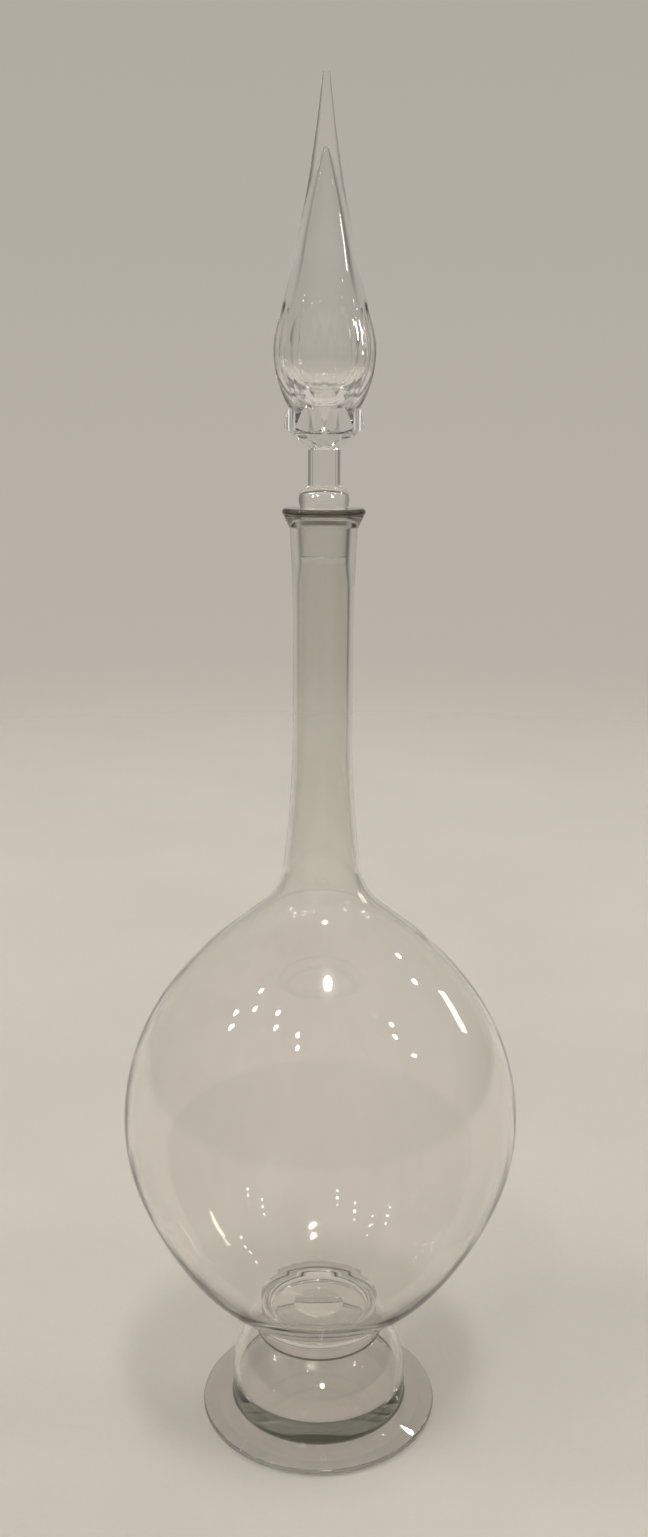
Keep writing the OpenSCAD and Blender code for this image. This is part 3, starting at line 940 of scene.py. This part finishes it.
for body, rows in PIECES.items():
    for make, node, slot, materials in rows:
        piece = make()
        for material in materials:
            piece.data.materials.append(material)
        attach(piece, body)
        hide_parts(node)

# ---- Floor, light and camera -------------------------------------------------------------------

FLOOR_GAP = 0.4  # how far the floor lies below the standing ring, in millimetres
FLOOR_RINGS = (300, 800, 1500, 2500, 4000)
FLOOR_DARK, FLOOR_PALE = (0.52, 0.485, 0.435, 1), (0.545, 0.51, 0.46, 1)
FLOOR_FADE = (1.2, 3.6)  # where it begins and ends to thin out, in metres from the jar


def make_floor():
    """A plain pale floor that thins out into the backdrop's own colour."""
    rings = [[((0.0, 0.0, -FLOOR_GAP), (0.0, 0.0, 1.0))]]
    solid = Solid()
    for r in FLOOR_RINGS:
        rings.append(turned_ring(r, -FLOOR_GAP, 0.0, 1.0))
    solid.loops(rings, GLASS)
    floor = solid.object("floor")
    material = bpy.data.materials.new("pale_floor")
    material.use_nodes = True
    net = Net(material.node_tree)
    here = place(net)
    fleck = net.noise(here, 260, 4, 0.6)
    cloud = net.noise(here, 3, 2)
    tone = net.math("MULTIPLY_ADD", fleck, 0.3, net.math("MULTIPLY", cloud, 0.7))
    colour = net.mix(net.ramp(tone, 0.3, 0.7), FLOOR_DARK, FLOOR_PALE)
    bump = net.add(
        "ShaderNodeBump", inputs={"Strength": 0.15, "Distance": 0.0006, "Height": fleck}
    ).outputs[0]
    shader = net.add(
        "ShaderNodeBsdfPrincipled",
        inputs={"Base Color": colour, "Roughness": 0.75, "Normal": bump},
    )
    reach = net.add("ShaderNodeVectorMath", here, operation="LENGTH").outputs["Value"]
    fade = net.ramp(reach, *FLOOR_FADE)
    clear = net.add("ShaderNodeBsdfTransparent")
    mixed = net.add("ShaderNodeMixShader", fade, shader.outputs[0], clear.outputs[0])
    net.add("ShaderNodeOutputMaterial", mixed.outputs[0])
    floor.data.materials.append(material)


def lamp(net, here, azimuth, elevation, half, soft=0.3):
    """A mask for one round lamp, by direction. Azimuth 0 is behind the camera."""
    out = tuple(towards(azimuth, elevation))
    off = net.add("ShaderNodeVectorMath", here, out, operation="DISTANCE").outputs["Value"]
    size = 2 * math.sin(math.radians(half) / 2)
    return net.ramp(off, size * (1 - soft), size, 1.0, 0.0)


WARM, WHITE = (1.0, 0.90, 0.70), (1.0, 0.98, 0.94)
ROOM = (0.26, 0.24, 0.215, 1), (0.36, 0.345, 0.325, 1)  # low down and high up
BACKDROP = (0.48, 0.445, 0.39, 1), (0.43, 0.405, 0.355, 1)
QUIET, HALO = (0.07, 0.066, 0.06, 1), (3.0, 2.95, 2.8, 1)
MAIN_AT, MAIN_HALF, MAIN_POWER, HALO_HALF = (15, 73), 3.2, 40.0, 8
SMALL_HALF, SMALL_POWER = 0.85, 180.0
SMALL_AT = [(-81, 53), (-74, 49), (-86, 41), (-52, 56), (-82, 38), (-47, 52), (-23, 54), (-21, 50)]
SMALL_AT += [(122, 37), (113, 34), (70, 45), (67, 42), (73, 32), (179, 65), (154, 47)]


def make_world():
    """A plain soft studio: a pale backdrop, quieter sides, and soft lights."""
    world = bpy.data.worlds.new("studio")
    bpy.context.scene.world = world
    world.use_nodes = True
    net = Net(world.node_tree)
    here = net.add("ShaderNodeTexCoord").outputs["Generated"]
    here = net.vector("NORMALIZE", here)
    split = net.add("ShaderNodeSeparateXYZ", here).outputs
    back = net.ramp(split[1], -0.2, 0.75)
    room = net.mix(net.ramp(split[2], -0.3, 0.7), *ROOM)
    backdrop = net.mix(net.ramp(split[2], -0.25, 0.45), *BACKDROP)
    colour = net.mix(back, room, backdrop)
    left = net.ramp(split[0], -0.95, -0.55, 0.55, 0.0)
    right = net.ramp(split[0], 0.5, 0.9, 0.0, 0.85)
    low_side = net.ramp(split[2], 0.0, 0.6, 1.0, 0.5)
    quiet = net.math("MULTIPLY", net.math("ADD", left, right), low_side)
    colour = net.mix(quiet, colour, QUIET)
    colour = net.mix(lamp(net, here, *MAIN_AT, HALO_HALF, 1.0), colour, HALO)
    lamps = [(*at, SMALL_HALF, SMALL_POWER) for at in SMALL_AT]
    lamps.append((*MAIN_AT, MAIN_HALF, MAIN_POWER))
    for azimuth, elevation, half, power in lamps:
        light = tuple(c * power for c in WHITE)
        colour = net.mix(lamp(net, here, azimuth, elevation, half), colour, (*light, 1))
    net.add("ShaderNodeOutputWorld", net.add("ShaderNodeBackground", colour, 1.0).outputs[0])


def towards(azimuth, elevation):
    """A direction from the object. Azimuth 0 is behind the camera, and 90 is its right."""
    a, e = math.radians(azimuth), math.radians(elevation)
    return Vector((math.sin(a) * math.cos(e), -math.cos(a) * math.cos(e), math.sin(e)))


def light_only(light, pieces):
    """Lets a light fall on the named pieces and on nothing else."""
    lit = bpy.data.collections.new(light.name + "_lights")
    for piece in pieces:
        lit.objects.link(bpy.data.objects[piece])
    light.light_linking.receiver_collection = lit


def panel_light(name, aim, out, far, size, lean, energy, colour, pieces):
    """A soft panel for some pieces, at a distance from the point that it is aimed at."""
    data = bpy.data.lights.new(name, "AREA")
    data.shape = "RECTANGLE"
    data.size, data.size_y = size
    data.energy = energy
    data.color = colour
    panel = bpy.data.objects.new(name, data)
    panel.location = Vector(aim) + far * out
    turn = Matrix.Rotation(math.radians(lean), 3, "Z")
    panel.rotation_euler = (out.to_track_quat("Z", "Y").to_matrix() @ turn).to_euler()
    panel.visible_camera = False
    bpy.context.scene.collection.objects.link(panel)
    light_only(panel, pieces)


def floor_sun(name, azimuth, elevation, soft, strength, shadow):
    """Even light for the floor alone, which keeps it as pale as the backdrop.

    "soft" is the sun's width in degrees.
    """
    data = bpy.data.lights.new(name, "SUN")
    data.angle = math.radians(soft)
    data.energy = strength
    data.use_shadow = shadow
    sun = bpy.data.objects.new(name, data)
    sun.rotation_euler = towards(azimuth, elevation).to_track_quat("Z", "Y").to_euler()
    bpy.context.scene.collection.objects.link(sun)
    light_only(sun, ["floor"])


SUN_AT = (15, 80)  # azimuth and elevation
GLOBE_SIDE, KNOP_FRONT = (0.087, -0.05, 0.325), (0.002, -0.056, 0.049)
FLANGE, BALL, BOWL = (0.0, 0.0, 0.695), (0.0, -0.01, 0.652), (0.02, -0.02, 0.76)
PANELS = [  # aim, azimuth, elevation, distance, size, lean, watts, colour, pieces
    (GLOBE_SIDE, 121.5, 15.5, 3.0, (0.16, 0.56), -45, 3.6, WARM, ("globe", "foot")),
    (KNOP_FRONT, 5, 26, 1.5, (0.13, 0.2), 0, 3.0, WHITE, ("knop",)),
    (FLANGE, -125, 12, 1.2, (0.4, 0.6), 0, 0.7, WHITE, ("cut_flange",)),
    (FLANGE, 125, 12, 1.2, (0.4, 0.6), 0, 0.7, WHITE, ("cut_flange",)),
    (FLANGE, 0, 70, 1.2, (0.3, 0.3), 0, 20.0, WHITE, ("cut_flange",)),
    (BALL, -54, 24, 1.2, (0.14, 0.14), 0, 5.0, WHITE, ("stopper_shoulder",)),
    (BALL, -36, 36, 1.2, (0.14, 0.14), 0, 5.0, WHITE, ("stopper_shoulder",)),
    (BALL, -72, 44, 1.2, (0.14, 0.14), 0, 5.0, WHITE, ("stopper_shoulder",)),
    (BALL, 40, 30, 1.2, (0.12, 0.4), 0, 9.0, WHITE, ("stopper_shoulder",)),
    (BOWL, 102, 13, 1.5, (0.08, 0.5), 0, 3.0, WHITE, ("spire",)),
]


def make_lights():
    """Soft panels for the globe's warm streak and the small highlights, and the floor's suns."""
    for number, (aim, azimuth, elevation, *rest, nodes) in enumerate(PANELS):
        pieces = [node + "_glass" for node in nodes]
        panel_light("panel_%02d" % number, aim, towards(azimuth, elevation), *rest, pieces)
    floor_sun("floor_fill", *SUN_AT, 20, 0.75, False)
    floor_sun("floor_key", *SUN_AT, 9, 0.4, True)


CAMERA_AT, CAMERA_DOWN, CAMERA_ROLL = (0.0, -0.9087, 0.694), 13.5, 0.35
LENS, SHIFT_X = 33.15, 0.0011


def make_camera():
    """The photograph's view, from a little above the mouth and looking down."""
    data = bpy.data.cameras.new("camera")
    data.lens = LENS
    data.shift_x = SHIFT_X
    camera = bpy.data.objects.new("camera", data)
    camera.location = CAMERA_AT
    pitch = Matrix.Rotation(math.radians(90 - CAMERA_DOWN), 3, "X")
    roll = Matrix.Rotation(math.radians(CAMERA_ROLL), 3, "Z")
    camera.rotation_euler = (pitch @ roll).to_euler()
    bpy.context.scene.collection.objects.link(camera)
    bpy.context.scene.camera = camera


make_floor()
make_world()
make_lights()
make_camera()

cycles = bpy.context.scene.cycles
cycles.max_bounces = 40
cycles.transmission_bounces = 40
cycles.glossy_bounces = 16
cycles.transparent_max_bounces = 64
cycles.sample_clamp_indirect = 24.0
cycles.blur_glossy = 0.0
bpy.context.scene.view_settings.view_transform = "Standard"
